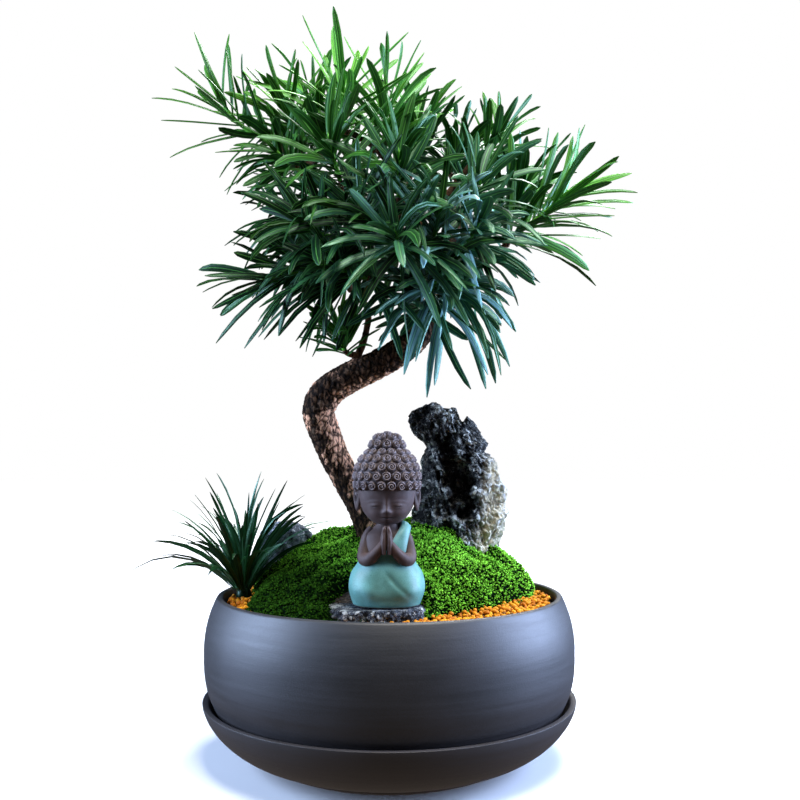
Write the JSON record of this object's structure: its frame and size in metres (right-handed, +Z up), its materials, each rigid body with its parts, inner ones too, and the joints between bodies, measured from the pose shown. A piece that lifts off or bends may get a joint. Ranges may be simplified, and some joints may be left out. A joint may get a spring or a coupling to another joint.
{
  "type": "potted yew pine bonsai",
  "caption": "Bonsai tree with a bent trunk and narrow leaves, in a round clay pot on its saucer, with moss, gravel, rocks, a grass tuft and a praying figure.",
  "frame": {"origin": "centre of the saucer foot on the ground, on the axis of the pot", "axes": "+Z up along the pot axis, -Y to the front where the figure looks, +X to the right"},
  "size_m": [0.3123, 0.2427, 0.4984],
  "materials": {
    "clay": "unglazed dark grey clay, satin",
    "mesh_plastic": "black mesh",
    "soil": "dark granular soil",
    "gravel": "orange-yellow pebbles",
    "moss": "vivid green cushion moss",
    "dark_rock": "rough charcoal rock",
    "grey_stone": "rough grey stone",
    "fired_figure": "bare brown clay with a celadon crackle-glazed robe",
    "bark": "dark flaky bark",
    "leaf": "dark green leaf with a sheen",
    "grass": "very dark green blade"
  },
  "bodies": {
    "root": {"back_stone": "grey_stone", "drain_mesh": "mesh_plastic", "grass_tuft": "grass", "gravel_band": "gravel", "moss_mound": "moss", "pot": "clay", "praying_figure": "fired_figure", "saucer": "clay", "slab_stone": "dark_rock", "soil": "soil", "spray_back": "leaf", "spray_back_crown": "leaf", "spray_back_left": "leaf", "spray_back_left_low": "leaf", "spray_back_low": "leaf", "spray_back_right": "leaf", "spray_back_right_low": "leaf", "spray_back_top": "leaf", "spray_bend": "leaf", "spray_centre_crown": "leaf", "spray_centre_top": "leaf", "spray_crown_left": "leaf", "spray_far_left": "leaf", "spray_front": "leaf", "spray_front_left": "leaf", "spray_front_low": "leaf", "spray_front_right": "leaf", "spray_high_front": "leaf", "spray_left_bottom": "leaf", "spray_left_crown": "leaf", "spray_left_front": "leaf", "spray_left_low": "leaf", "spray_left_middle": "leaf", "spray_left_upper": "leaf", "spray_low": "leaf", "spray_middle": "leaf", "spray_middle_left": "leaf", "spray_right_bottom": "leaf", "spray_right_crown": "leaf", "spray_right_front": "leaf", "spray_right_low": "leaf", "spray_right_side": "leaf", "spray_right_tip": "leaf", "spray_right_upper": "leaf", "spray_top": "leaf", "spray_upper_front": "leaf", "tall_rock": "dark_rock", "tree_wood": "bark"}
  },
  "joints": []
}
